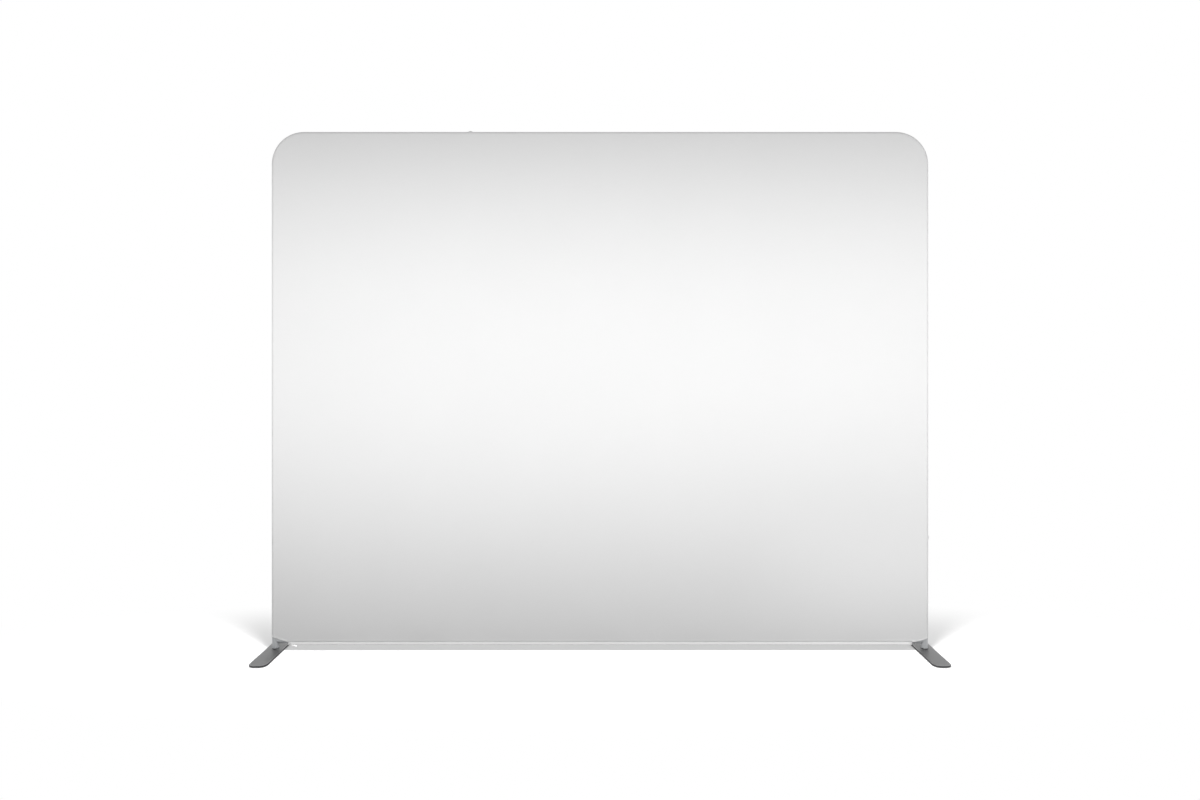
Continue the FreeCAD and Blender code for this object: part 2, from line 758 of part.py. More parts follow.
def zipper_pull(label, pivot):
    """A flat tab that hangs on a bar through the slider's bail."""
    body = new_body(label)
    half, window, back = pull_width / 2, bail_width / 2 + pull_clearance, pull_bar_diameter / 2
    bar = new_sketch(body, "XZ_Plane")
    draw_circle(bar, (0, 0), pull_bar_diameter)
    extrude("Pad", bar, pull_width, both_ways=True)
    tab = new_sketch(body, "XY_Plane")
    draw(tab, [(-back, half), (-back, window), (pull_window, window), (pull_window, -window),
               (-back, -window), (-back, -half), (pull_length - half, -half, half, 1),
               (pull_length, 0, half, 1), (pull_length - half, half)])
    extrude("Pad", tab, pull_thickness, both_ways=True)
    eye = new_sketch(body, "XY_Plane")
    draw_circle(eye, (pull_length - half, 0), pull_eye_diameter)
    extrude("Pocket", eye, 2 * pull_thickness, both_ways=True)
    place(body, pivot, FreeCAD.Rotation(vector(BACK), pull_droop.number))
    bind(body, "Placement.Rotation.Angle", pull_droop)


# The frame: every snap joint is a point, the way its free half points, where its button and inside face
top_left_joint, top_right_joint = (-centre_end, 0, top_z), (centre_end, 0, top_z)
bottom_left_joint, bottom_right_joint = (-centre_end, 0, rail_height), (centre_end, 0, rail_height)
SNAP_JOINTS = {
    "top_left": (top_left_joint, LEFT, UP, DOWN),
    "top_right": (top_right_joint, RIGHT, DOWN, DOWN),
    "left_upper": ((-side_x, 0, upper_joint_height), DOWN, RIGHT, RIGHT),
    "right_upper": ((side_x, 0, upper_joint_height), DOWN, LEFT, LEFT),
    "left_lower": ((-side_x, 0, lower_joint_height), DOWN, RIGHT, RIGHT),
    "right_lower": ((side_x, 0, lower_joint_height), DOWN, RIGHT, LEFT),
    "bottom_left": (bottom_left_joint, LEFT, UP, UP),
    "bottom_right": (bottom_right_joint, RIGHT, UP, UP),
    "centre_pole": ((0, 0, pole_joint_height), DOWN, RIGHT, RIGHT),
}
STUB_ENDS = {
    "left_stub": ((-rail_end, 0, rail_height), RIGHT),
    "right_stub": ((rail_end, 0, rail_height), LEFT),
}

middle_rivets = rivet_places(0, 1) + rivet_places(centre_tube_length, -1)
tube("top_centre_tube", top_left_joint, RIGHT, DOWN, centre_tube_length, rivets=middle_rivets)
tube("bottom_centre_rail", bottom_left_joint, RIGHT, UP, centre_tube_length, rivets=middle_rivets)
corner_tube("left_corner_tube", RIGHT, button_up=True)
corner_tube("right_corner_tube", LEFT, button_up=False)
side_rail = rail_end - centre_end
mid_upright = upper_joint_height - lower_joint_height
for side, outer_x, inward in (("left", -side_x, RIGHT), ("right", side_x, LEFT)):
    tube(f"{side}_mid_upright", (outer_x, 0, lower_joint_height), UP, inward, mid_upright,
         buttons=[mid_upright - button_inset], rivets=rivet_places(0, 1))
    lower_upright(f"{side}_lower_upright", inward, button_outward=side == "right")
    rail_start = moved((0, 0, rail_height), inward, -rail_end)
    tube(f"bottom_{side}_rail", rail_start, inward, UP, side_rail,
         buttons=[button_inset, side_rail - button_inset])
pole_bottom, pole_top = rail_height + saddle_depth, top_z - saddle_depth
tube("centre_pole_lower", (0, 0, pole_bottom), UP, RIGHT, pole_joint_height - pole_bottom,
     buttons=[pole_joint_height - pole_bottom - button_inset])
tube("centre_pole_upper", (0, 0, pole_joint_height), UP, RIGHT, pole_top - pole_joint_height,
     rivets=rivet_places(0, 1))
saddle("pole_bottom_saddle", (0, 0, rail_height), UP)
saddle("pole_top_saddle", (0, 0, top_z), DOWN)

rivets, springs = [], []
for name, (joint, free, pointing, inward) in SNAP_JOINTS.items():
    sleeve(name, joint, free, pointing, inward)
    hole = moved(joint, free, button_inset)
    button(name, hole, free, pointing)
    springs.append(spring(f"{name}_spring", hole, free, pointing))
    for inset in (rivet_inset, rivet_inset + rivet_pitch):
        rivets.append(rivet(f"{name}_rivet", joint, free, inward, inset))
for name, (rail_start, free) in STUB_ENDS.items():
    hole = moved(rail_start, free, button_inset)
    button(name, hole, free, UP)
    springs.append(spring(f"{name}_spring", hole, free, UP))
combined("Compound", "sleeve_rivets", Links=rivets)
combined("Compound", "snap_springs", Links=springs)

# The feet
bolts, washers = [], []
for side, outer_x in (("left", -side_x), ("right", side_x)):
    centre = (outer_x, 0, 0)
    foot_plate(f"{side}_foot_plate", centre)
    foot_pads(f"{side}_foot_pads", centre)
    end_plug(f"{side}_end_plug", centre)
    bolts.append(foot_bolt(f"{side}_bolt", centre))
    washers.append(foot_washer(f"{side}_washer", centre))
combined("Compound", "foot_bolts", Links=bolts)
combined("Compound", "foot_washers", Links=washers)

# The cover and its zipper
top_bump = (moved(top_left_joint, LEFT, button_inset), UP)
side_bump = ((side_x, 0, lower_joint_height - button_inset), RIGHT)
front = front_panel("front_panel", [top_bump, side_bump])
mirrored("rear_panel", front, BACK)
mirrored("right_corner_hem", corner_hem("left_corner_hem"), RIGHT)
mirrored("rear_zipper_tape", zipper_tape("front_zipper_tape"), BACK)
mirrored("rear_zipper_coil", zipper_coil("front_zipper_coil"), BACK)
zipper_stops("zipper_stops")
zipper_pull("zipper_pull", zipper_slider("zipper_slider", (-slider_half, 0, tape_bottom)))

NODES = (
    ["top_centre_tube", "left_corner_tube", "right_corner_tube", "left_mid_upright", "right_mid_upright",
     "left_lower_upright", "right_lower_upright", "bottom_left_rail", "bottom_centre_rail",
     "bottom_right_rail", "centre_pole_lower", "centre_pole_upper", "pole_bottom_saddle", "pole_top_saddle"]
    + [f"{name}_sleeve" for name in SNAP_JOINTS]
    + [f"{name}_button" for name in (*SNAP_JOINTS, *STUB_ENDS)]
    + ["sleeve_rivets", "snap_springs"]
    + [f"{side}_{piece}" for side in ("left", "right") for piece in ("foot_plate", "foot_pads", "end_plug")]
    + ["foot_bolts", "foot_washers", "front_panel", "rear_panel", "left_corner_hem", "right_corner_hem",
       "front_zipper_tape", "rear_zipper_tape", "front_zipper_coil", "rear_zipper_coil", "zipper_stops",
       "zipper_slider", "zipper_pull"])

doc.recompute()
for item in doc.Objects:
    if {"Invalid", "Error"} & set(item.State):
        raise RuntimeError(f"{item.Label} could not be made: {item.State}")
pieces = {label: doc.getObjectsByLabel(label)[0].Shape for label in NODES}
for label, shape in pieces.items():
    if shape.isNull() or not shape.isValid() or not shape.Solids:
        raise RuntimeError(f"{label} is not a valid solid")
os.makedirs("parts", exist_ok=True)
for label, shape in pieces.items():
    shape.exportStep(f"parts/{label}.step")
print(f"{len(pieces)} nodes, {sum(len(shape.Solids) for shape in pieces.values())} solids")
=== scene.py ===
import json
import math

import bpy
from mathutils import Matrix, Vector


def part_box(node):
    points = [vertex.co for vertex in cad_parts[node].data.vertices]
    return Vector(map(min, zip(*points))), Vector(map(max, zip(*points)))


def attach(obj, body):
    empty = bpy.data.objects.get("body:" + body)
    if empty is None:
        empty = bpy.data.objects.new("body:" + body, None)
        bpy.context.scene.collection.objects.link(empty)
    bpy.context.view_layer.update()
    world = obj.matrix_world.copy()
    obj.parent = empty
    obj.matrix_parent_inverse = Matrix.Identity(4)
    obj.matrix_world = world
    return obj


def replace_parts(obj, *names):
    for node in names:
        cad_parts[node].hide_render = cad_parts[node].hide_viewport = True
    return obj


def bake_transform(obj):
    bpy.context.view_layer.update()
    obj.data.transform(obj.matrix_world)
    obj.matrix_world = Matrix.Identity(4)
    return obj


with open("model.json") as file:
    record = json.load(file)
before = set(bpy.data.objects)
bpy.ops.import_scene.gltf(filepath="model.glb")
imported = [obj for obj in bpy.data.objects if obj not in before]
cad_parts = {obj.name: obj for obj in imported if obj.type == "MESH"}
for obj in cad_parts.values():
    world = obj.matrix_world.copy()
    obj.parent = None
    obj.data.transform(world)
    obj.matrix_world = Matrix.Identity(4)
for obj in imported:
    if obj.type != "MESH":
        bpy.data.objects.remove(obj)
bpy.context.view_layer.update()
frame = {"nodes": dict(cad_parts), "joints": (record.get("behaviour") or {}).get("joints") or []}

nodes = frame["nodes"]
FRONT, REAR = -1, 1
LEFT, RIGHT = -1, 1
QUARTER = math.pi / 2


def middle(node):
    """Centre of a node's box."""
    low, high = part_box(node)
    return (low + high) / 2


# Places read from the frame
panel_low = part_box("front_panel")[0]
tape_low, tape_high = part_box("front_zipper_tape")
coil_low, coil_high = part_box("front_zipper_coil")
side_x = middle("right_mid_upright").x
top_z = middle("top_centre_tube").z
cover_radius = -panel_low.y
hem_z = panel_low.z
opening_x = tape_high.x
edge_x = side_x + cover_radius

# The cover's own sizes
CLOTH = 0.0005
CORNER_BEND = 0.132
OPENING_RISE = {LEFT: 0.025, RIGHT: 0.020}
OPENING_CURVE = {LEFT: 1.1, RIGHT: 1.7}
OPENING_FADE = 0.06
GRID_STEP = 0.024
CORNER_TURN = math.radians(4)
RIM_TURN = math.radians(7.5)
SEAM_DEPTH = 0.0004
HEM_WIDTH = 0.011
HEM_FOLD = 0.0002
HEM_STEP_SHARES = (0.92, 1.12)
HEM_STITCH_SHARE = 0.75
HEM_ROW_SHARES = (0, 0.25, 0.5, 0.75, HEM_STEP_SHARES[0], 1, HEM_STEP_SHARES[1], 1.4, 2, 3)
RIPPLE_DEPTH = 0.003
RIPPLE_PEAK = 0.11
RIPPLE_PITCH = 0.41
RIPPLE_BEAT = 0.62
RIPPLE_ENDS = (0.8, 0.97)
BUMP_REACH = 0.026
BUMP_STEP = 0.002
BUTTON_CLEARANCE = 0.0004
TENT_TOP = 0.0043
TENT_FOOT = 0.017

# Snap buttons that push the cloth out, each with the axis (0 for x, 2 for z) that it points along
OUTWARD_BUTTONS = tuple(
    (middle(node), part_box(node)[1][axis] + BUTTON_CLEARANCE + CLOTH, axis)
    for node, axis in (("top_left_button", 2), ("right_lower_button", 0))
)


# Mesh helpers

def spread(low, high, step):
    """Even places from low to high, about a step apart."""
    count = max(1, round((high - low) / step))
    return [low + (high - low) * i / count for i in range(count + 1)]


def refined(places, centre, reach, step):
    """The places, with small even steps put in around a centre."""
    count = round(reach / step)
    fine = [centre + step * i for i in range(-count, count + 1)]
    return sorted([p for p in places if abs(p - centre) > reach + step / 2] + fine)


def smooth(low, high, value):
    """0 below low, 1 above high and an S-curve between."""
    share = min(1.0, max(0.0, (value - low) / (high - low)))
    return share * share * (3 - 2 * share)


def mesh_object(name, points, faces, material):
    """A mesh object of one material, put in the scene."""
    mesh = bpy.data.meshes.new(name)
    mesh.from_pydata(points, [], faces)
    mesh.materials.append(material)
    made = bpy.data.objects.new(name, mesh)
    bpy.context.scene.collection.objects.link(made)
    return made


def made_piece(name, points, faces, material):
    """A smooth mesh piece that rides on the frame body."""
    piece = mesh_object(name, points, faces, material)
    polygons = piece.data.polygons
    polygons.foreach_set("use_smooth", [True] * len(polygons))
    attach(piece, "frame")
    return piece


def thicken(piece, thickness, offset):
    """Gives a sheet its thickness: offset -1 is inward from its face, 0 is half on each side."""
    shell = piece.modifiers.new("cloth_thickness", "SOLIDIFY")
    shell.thickness = thickness
    shell.offset = offset
    shell.use_even_offset = True


def strip_faces(rows, columns, flipped=False):
    """Quads over a grid of points that is stored row by row."""
    faces = []
    for row in range(rows - 1):
        for column in range(columns - 1):
            first = row * columns + column
            quad = (first, first + 1, first + columns + 1, first + columns)
            faces.append(quad[::-1] if flipped else quad)
    return faces


def mirrored_y(point):
    """The point or direction on the wall's other side."""
    return Vector((point.x, -point.y, point.z))


def even_stations(stations, pitch):
    """Point, direction and normal every pitch along a line of (point, normal) pairs."""
    placed, run, due = [], 0.0, pitch / 2
    for (start, normal), (end, _) in zip(stations, stations[1:]):
        length = (end - start).length
        while length and due <= run + length:
            placed.append((start.lerp(end, (due - run) / length), (end - start) / length, normal))
            due += pitch
        run += length
    return placed


# Materials

# A foot plate's corner radius, and how far inside its outline its painted edge shade and painted
# highlight ring lie
FOOT_CORNER = 0.032
FOOT_PAINTED_SHADE_EDGE = (0.0020, 0.0030)
FOOT_HIGHLIGHT_RING_STARTS = (0.0022, 0.0030)
FOOT_HIGHLIGHT_RING_ENDS = (0.0036, 0.0052)

# How metallic a tube looks under its oxide
TUBE_METAL = 0.25

# Sockets of the Mix node in its colour mode
MIX_SHARE, MIX_FIRST, MIX_SECOND, MIX_RESULT = 0, 6, 7, 2


class Look:
    """A procedural material round one Principled shader; constants are set on its own sockets."""

    def __init__(self, name, constants):
        self.material = bpy.data.materials.new(name)
        self.material.use_nodes = True
        self.tree = self.material.node_tree
        self.shader = self.tree.nodes["Principled BSDF"]
        for socket, value in constants.items():
            self.shader.inputs[socket].default_value = value

    def node(self, kind, inputs, output, **settings):
        """One output of a new node; each input is a value or another node's output."""
        made = self.tree.nodes.new("ShaderNode" + kind)
        for key, value in settings.items():
            setattr(made, key, value)
        for socket, value in inputs.items():
            if isinstance(value, bpy.types.NodeSocket):
                self.tree.links.new(value, made.inputs[socket])
            else:
                made.inputs[socket].default_value = value
        return made.outputs[output]

    def place(self, scale=(1, 1, 1)):
        """Object coordinates, in metres, stretched by scale."""
        where = self.node("TexCoord", {}, "Object")
        return self.node("Mapping", {"Vector": where, "Scale": scale}, "Vector")

    def noise(self, where, scale, detail=3.0, roughness=0.55):
        inputs = {"Vector": where, "Scale": scale, "Detail": detail, "Roughness": roughness}
        return self.node("TexNoise", inputs, "Fac")

    def wave(self, where, pitch, direction, distortion=0.0):
        """Soft ridges one pitch apart along a direction; at scale 1 the node's lie pi / 10 apart."""
        inputs = {"Vector": where, "Scale": math.pi / 10 / pitch, "Distortion": distortion}
        return self.node("TexWave", inputs, "Fac", bands_direction=direction)

    def speckle(self, where, scale):
        return self.node("TexVoronoi", {"Vector": where, "Scale": scale}, "Distance")

    def range(self, value, low, high, start=0.0, end=1.0):
        inputs = {"Value": value, "From Min": start, "From Max": end, "To Min": low, "To Max": high}
        return self.node("MapRange", inputs, "Result")

    def combine(self, first, second, operation="ADD"):
        """Two values added, or put together by another operation."""
        return self.node("Math", {0: first, 1: second}, "Value", operation=operation)

    def mix(self, share, first, second):
        """A blend of two colours, each a value or another node's output."""
        inputs = {MIX_SHARE: share, MIX_FIRST: first, MIX_SECOND: second}
        return self.node("Mix", inputs, MIX_RESULT, data_type="RGBA")

    def colour(self, share, low, high):
        """A blend from the low colour to the high one, both linear."""
        return self.mix(share, (*low, 1), (*high, 1))

    def finish(self, colour, roughness, height=None, strength=0.2, depth=0.0002):
        self.tree.links.new(colour, self.shader.inputs["Base Color"])
        self.tree.links.new(roughness, self.shader.inputs["Roughness"])
        if height is not None:
            inputs = {"Strength": strength, "Distance": depth, "Height": height}
            self.tree.links.new(self.node("Bump", inputs, "Normal"), self.shader.inputs["Normal"])
        return self.material


def grey(level, warmth=0.0):
    """A linear grey; warmth tips it towards red and away from blue."""
    return (level * (1 + warmth), level, level * (1 - warmth))


def cover_look():
    """White warp-knit polyester: fine wales and courses, slubs in the yarn and faint clouding."""
    look = Look("cover_knit", {"Sheen Weight": 0.18, "Sheen Roughness": 0.45, "IOR": 1.45,
                               "Specular IOR Level": 0.25})
    where = look.place()
    wales = look.wave(where, 0.0011, "X", 0.6)
    courses = look.wave(where, 0.0014, "Z", 0.6)
    knit = look.combine(wales, courses, "MULTIPLY")
    slubs = look.noise(look.place((40, 40, 700)), 1.0, 2.0)
    clouds = look.noise(where, 2.2, 4.0)
    tone = look.combine(look.range(slubs, 0.0, 0.45), look.range(clouds, 0.0, 0.55))
    colour = look.colour(tone, grey(0.70), grey(0.745))
    roughness = look.range(look.combine(knit, slubs), 0.78, 0.95, 0.0, 2.0)
    height = look.combine(knit, look.range(slubs, 0.0, 0.6))
    return look.finish(colour, roughness, height, 0.25, 0.00018)


def woven_look(name, level, rib_pitch, rib_axis):
    """White woven webbing: ribs across X or Y with a finer weave across Z."""
    look = Look(name, {"Sheen Weight": 0.15, "Sheen Roughness": 0.4, "Specular IOR Level": 0.3})
    where = look.place()
    ribs = look.wave(where, rib_pitch, rib_axis, 0.3)
    weave = look.wave(where, rib_pitch * 0.45, "Z", 0.8)
    dirt = look.noise(where, 60, 4.0)
    colour = look.colour(look.combine(look.range(ribs, 0, 0.5), look.range(dirt, 0, 0.5)),
                         grey(level - 0.05, 0.004), grey(level))
    height = look.combine(ribs, look.range(weave, 0.0, 0.4))
    return look.finish(colour, look.range(dirt, 0.7, 0.9), height, 0.45, 0.0002)


def thread_look():
    """Twisted white sewing thread."""
    look = Look("sewing_thread", {"Sheen Weight": 0.1, "Specular IOR Level": 0.35})
    ply = look.wave(look.place(), 0.0009, "DIAGONAL", 0.5)
    colour = look.colour(ply, grey(0.76), grey(0.88))
    return look.finish(colour, look.range(ply, 0.5, 0.7), ply, 0.4, 0.0001)


def coil_look():
    """White polyester monofilament of the zipper's coils, with a soft gloss."""
    look = Look("coil_filament", {"Specular IOR Level": 0.5, "Coat Weight": 0.15})
    mottle = look.noise(look.place(), 450, 3.0)
    colour = look.colour(mottle, grey(0.74, 0.006), grey(0.86))
    return look.finish(colour, look.range(mottle, 0.28, 0.45), mottle, 0.1, 0.0001)


def nickel_look():
    """Bright nickel plate on a zinc casting: a faint haze with fine rubbed scratches."""
    look = Look("bright_nickel", {"Metallic": 1.0})
    where = look.place()
    haze = look.noise(where, 500, 4.0)
    scratches = look.noise(look.place((300, 4000, 4000)), 1.0, 3.0, 0.7)
    colour = look.colour(haze, (0.84, 0.84, 0.84), (0.93, 0.93, 0.92))
    roughness = look.range(look.combine(haze, scratches), 0.12, 0.3, 0.6, 1.4)
    return look.finish(colour, roughness, scratches, 0.06, 0.0001)


def tube_look(name, along):
    """Satin anodised aluminium tube, drawn along one axis: fine streaks under a dull oxide bloom."""
    look = Look(name, {"Metallic": TUBE_METAL, "Specular IOR Level": 0.3})
    stretch = [900.0, 900.0, 900.0]
    stretch["XYZ".index(along)] = 12.0
    streaks = look.noise(look.place(stretch), 1.0, 4.0, 0.65)
    bloom = look.noise(look.place(), 45, 4.0)
    tone = look.combine(look.range(streaks, 0, 0.55), look.range(bloom, 0, 0.45))
    colour = look.colour(tone, (0.38, 0.39, 0.40), (0.56, 0.57, 0.58))
    roughness = look.range(look.combine(streaks, bloom), 0.44, 0.62, 0.5, 1.5)
    return look.finish(colour, roughness, streaks, 0.12, 0.0001)


def bent_tube_look():
    """The same aluminium on the bent corner tubes, where the streaks follow no one axis."""
    look = Look("tube_bent", {"Metallic": TUBE_METAL, "Specular IOR Level": 0.3})
    where = look.place()
    grain = look.noise(where, 900, 3.0)
    bloom = look.noise(where, 30, 4.0)
    colour = look.colour(bloom, (0.42, 0.43, 0.44), (0.56, 0.57, 0.58))
    return look.finish(colour, look.range(grain, 0.46, 0.6), grain, 0.08, 0.0001)


def plated_look(name, low, high, rough):
    """Zinc-plated steel: a spangled tone with small bright scuffs."""
    look = Look(name, {"Metallic": 1.0})
    where = look.place()
    spangle = look.speckle(where, 420)
    scuffs = look.noise(where, 900, 5.0, 0.75)
    colour = look.colour(look.range(spangle, 0, 1, 0, 0.7), low, high)
    roughness = look.range(scuffs, rough - 0.08, rough + 0.12, 0.3, 0.7)
    return look.finish(colour, roughness, scuffs, 0.08, 0.0001)


def sleeve_look(name, along):
    """Turned aluminium sleeve along one axis, with fine rings left by the tool."""
    look = Look(name, {"Metallic": 1.0})
    where = look.place()
    rings = look.wave(where, 0.0006, along, 0.2)
    bloom = look.noise(where, 80, 3.0)
    colour = look.colour(bloom, (0.50, 0.51, 0.52), (0.66, 0.66, 0.67))
    return look.finish(colour, look.range(rings, 0.25, 0.4), rings, 0.1, 0.0001)


def foot_inset(look):
    """Distance inside a foot plate's rounded outline, seen from above; 0 on the outline."""
    low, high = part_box("right_foot_plate")
    centre, half = (low + high) / 2, (high - low) / 2
    flat = look.node("VectorMath", {0: look.place((1, 1, 0))}, "Vector", operation="ABSOLUTE")
    inputs = {0: flat, 1: (centre.x, 0, 0)}
    offset = look.node("VectorMath", inputs, "Vector", operation="SUBTRACT")
    offset = look.node("VectorMath", {0: offset}, "Vector", operation="ABSOLUTE")
    inputs = {0: offset, 1: (half.x - FOOT_CORNER, half.y - FOOT_CORNER, 0)}
    past = look.node("VectorMath", inputs, "Vector", operation="SUBTRACT")
    past = look.node("VectorMath", {0: past, 1: (0, 0, 0)}, "Vector", operation="MAXIMUM")
    reach = look.node("VectorMath", {0: past}, "Value", operation="LENGTH")
    return look.combine(FOOT_CORNER, reach, "SUBTRACT")


def foot_look():
    """Grey powder coat on steel plate: orange peel and flake, with a painted highlight ring inside
    painted shade along the edge.
    """
    look = Look("foot_powder_coat", {"Metallic": 0.1, "Specular IOR Level": 0.35})
    where = look.place()
    peel = look.noise(where, 650, 2.0)
    flake = look.speckle(where, 2600)
    clouds = look.noise(where, 26, 5.0, 0.6)
    tone = look.combine(look.range(clouds, 0, 0.7), look.range(flake, 0, 0.3, 0, 0.7))
    body = look.colour(tone, grey(0.076, -0.01), grey(0.118, -0.01))
    inset = foot_inset(look)
    # Painted highlight: a bright ring just inside the plate's outline, laid into the colour rather
    # than worn into it.
    ring = look.combine(look.range(inset, 0, 1, *FOOT_HIGHLIGHT_RING_STARTS),
                        look.range(inset, 1, 0, *FOOT_HIGHLIGHT_RING_ENDS), "MULTIPLY")
    painted_highlight_share = look.combine(ring, look.range(clouds, 0.25, 0.8, 0.35, 0.6), "MULTIPLY")
    with_painted_highlight = look.mix(painted_highlight_share, body, (0.36, 0.36, 0.365, 1))
    # Painted shade: the outline and the plate's sides are darkened in the colour.
    edge = look.range(inset, 0.85, 0.0, *FOOT_PAINTED_SHADE_EDGE)
    colour = look.mix(edge, with_painted_highlight, (0.03, 0.03, 0.032, 1))
    roughness = look.range(look.combine(peel, clouds), 0.42, 0.6, 0.6, 1.4)
    return look.finish(colour, roughness, peel, 0.18, 0.0002)


def moulding_look(name, low, high):
    """Injection-moulded nylon: spark-eroded grain and a slight sheen."""
    look = Look(name, {"Specular IOR Level": 0.4})
    where = look.place()
    grain = look.noise(where, 1800, 2.0)
    flow = look.noise(where, 90, 3.0)
    colour = look.colour(flow, low, high)
    return look.finish(colour, look.range(grain, 0.42, 0.6), grain, 0.2, 0.0001)


def pad_look():
    """Black rubber with dust worked into it."""
    look = Look("pad_rubber", {"Specular IOR Level": 0.3})
    where = look.place()
    dust = look.noise(where, 240, 5.0, 0.7)
    colour = look.colour(look.range(dust, 0, 1, 0.45, 0.75), grey(0.02), grey(0.075, 0.02))
    return look.finish(colour, look.range(dust, 0.75, 0.92), dust, 0.3, 0.0002)


# The cover

def opening_z(x):
    """Height of the cloth's lower edge at x: the hem, climbing outward at the corner openings."""
    side = LEFT if x < 0 else RIGHT
    climb = max(0.0, abs(x) - opening_x) / (edge_x - opening_x)
    return hem_z + OPENING_RISE[side] * climb ** OPENING_CURVE[side]


def corner_past(x):
    """How far x lies past the start of a top corner's bend."""
    return min(CORNER_BEND, max(0.0, abs(x) - (side_x - CORNER_BEND)))


def cloth_top(x):
    """Height where the cloth starts to turn over the tube, falling round the top corners."""
    return top_z - CORNER_BEND + math.sqrt(CORNER_BEND ** 2 - corner_past(x) ** 2)


def outward(x):
    """Direction in which the cloth's top edge turns over the tube at x."""
    sine = corner_past(x) / CORNER_BEND
    return Vector((math.copysign(sine, x), 0, math.sqrt(1 - sine ** 2)))


def ripple(x, z):
    """How far the stretched cloth stands off its plane: shallow tension scallops above the hem."""
    up = (z - hem_z) / RIPPLE_PEAK
    swell = up * math.exp(1 - up)
    phase = math.tau * x / RIPPLE_PITCH
    wave = math.cos(phase) + 0.5 * math.cos(phase * RIPPLE_BEAT + 1)
    near, far = RIPPLE_ENDS
    inside = 1 - smooth(near * side_x, far * side_x, abs(x))
    return RIPPLE_DEPTH * swell * (0.5 + wave / 3) * inside


def hem_fold(x, up):
    """The doubled cloth of the hem stands a little proud, up to the corner openings."""
    across = 1 - smooth(opening_x - HEM_WIDTH, opening_x, abs(x))
    low, high = HEM_STEP_SHARES
    return HEM_FOLD * across * (1 - smooth(low * HEM_WIDTH, high * HEM_WIDTH, up))


def cloth_point(x, share, side):
    """A point of the flat face, at a share of the cloth's height at x."""
    low = opening_z(x)
    z = low + (cloth_top(x) - low) * share
    return Vector((x, side * (cover_radius + ripple(x, z) + hem_fold(x, z - low)), z))


def tent(distance):
    """Share of a button's height that the cloth still has at a distance from its axis."""
    if distance <= TENT_TOP:
        return 1.0
    return max(0.0, 1 - (distance - TENT_TOP) / (TENT_FOOT - TENT_TOP)) ** 2


def over_buttons(point):
    """The point, lifted where a snap button under the cloth pushes it out."""
    for centre, top, axis in OUTWARD_BUTTONS:
        offset = point - centre
        if abs(offset[axis]) < BUMP_REACH:
            offset[axis] = 0
            point[axis] += (top - point[axis]) * tent(offset.length)
    return point


def rim_point(edge, out, turn, side):
    """A point of the cloth's edge, carried round the tube: 0 is the face, a quarter turn the seam."""
    reach = cover_radius - (SEAM_DEPTH if turn >= QUARTER else 0)
    point = edge + out * reach * math.sin(turn)
    point.y = side * reach * math.cos(turn)
    if not out.z:
        fade = 1 - smooth(0, OPENING_FADE, edge.z - opening_z(edge.x))
        point.z += (opening_z(point.x) - opening_z(edge.x)) * fade
    return over_buttons(point)


def cloth_columns():
    """x of the grid's columns: even along the top tube, by angle round the corners."""
    straight = side_x - CORNER_BEND
    bend = [straight + CORNER_BEND * math.sin(turn) for turn in spread(0, QUARTER, CORNER_TURN)][1:]
    across = spread(-straight, straight, GRID_STEP)
    across = refined(across, OUTWARD_BUTTONS[0][0].x, BUMP_REACH, BUMP_STEP)
    return [-x for x in reversed(bend)] + across + bend


def cloth_rows():
    """Shares of the cloth's height: close in the hem and beside the side button."""
    height = top_z - hem_z
    hem = [HEM_WIDTH * share for share in HEM_ROW_SHARES]
    rows = [z / height for z in hem[:-1] + spread(hem[-1], height, GRID_STEP)]
    low, high = opening_z(side_x), top_z - CORNER_BEND
    beside = (OUTWARD_BUTTONS[1][0].z - low) / (high - low)
    return refined(rows, beside, BUMP_REACH / (high - low), BUMP_STEP / (high - low))


def cover_panel(name, side, material):
    """One sheet of the cover with its rim, and the line of its seam as (point, direction) pairs."""
    columns, rows = cloth_columns(), cloth_rows()
    width = len(columns)
    points = [cloth_point(x, share, side) for share in rows for x in columns]
    faces = strip_faces(len(rows), width, flipped=side == REAR)
    below_top = range(len(rows) - 1)
    left = [(row * width, Vector((LEFT, 0, 0))) for row in below_top]
    top = [((len(rows) - 1) * width + i, outward(x)) for i, x in enumerate(columns)]
    right = [(row * width + width - 1, Vector((RIGHT, 0, 0))) for row in reversed(below_top)]
    rim = left + top + right
    before = [index for index, _ in rim]
    for turn in spread(0, QUARTER, RIM_TURN)[1:]:
        start = len(points)
        points += [rim_point(points[index], out, turn, side) for index, out in rim]
        ring = list(range(start, len(points)))
        for i in range(len(rim) - 1):
            quad = (before[i], before[i + 1], ring[i + 1], ring[i])
            faces.append(quad[::-1] if side == REAR else quad)
        before = ring
    panel = made_piece(name, points, faces, material)
    thicken(panel, CLOTH, -1)
    seam = [(points[index], out) for index, (_, out) in zip(before, rim)]
    return panel, seam


# Bindings, tapes, coils and stitches

# Rise and stand-off of a binding's middle: down the cloth's face, round its edge and up inside
BINDING_PROFILE = (
    (0.0060, 0.00020), (0.0040, 0.00024), (0.0020, 0.00026), (0.0005, 0.00026), (-0.0003, 0.00008),
    (-0.0006, -0.00025), (-0.0003, -0.00058), (0.0005, -0.00072), (0.0025, -0.00072),
    (0.0050, -0.00070),
)
BINDING_CLOTH = 0.0003
BINDING_STEP = 0.006
BINDING_STITCH_UP = 0.0047
TAPE_CLOTH = 0.0005
TAPE_UNDER_HEM = 0.003
TAPE_TURN = math.radians(9)
TAPE_STEP = 0.02
TAPE_BEND = 0.003
TAPE_LIP = 0.0009
TAPE_LIP_RUN = 0.0012
TAPE_LIP_STEPS = 8
COIL_PITCH = 0.0025
COIL_WIRE = 0.00042
COIL_OVERLAP = 0.0007
COIL_SIDES = 8
WIRE_SIDES = 5
STITCH_PITCH = 0.004
STITCH_LENGTH = 0.0031
STITCH_THREAD = 0.00028
STITCH_SIDES = 6
STITCH_SHOULDER = 0.3
STITCH_RAISE = 0.3


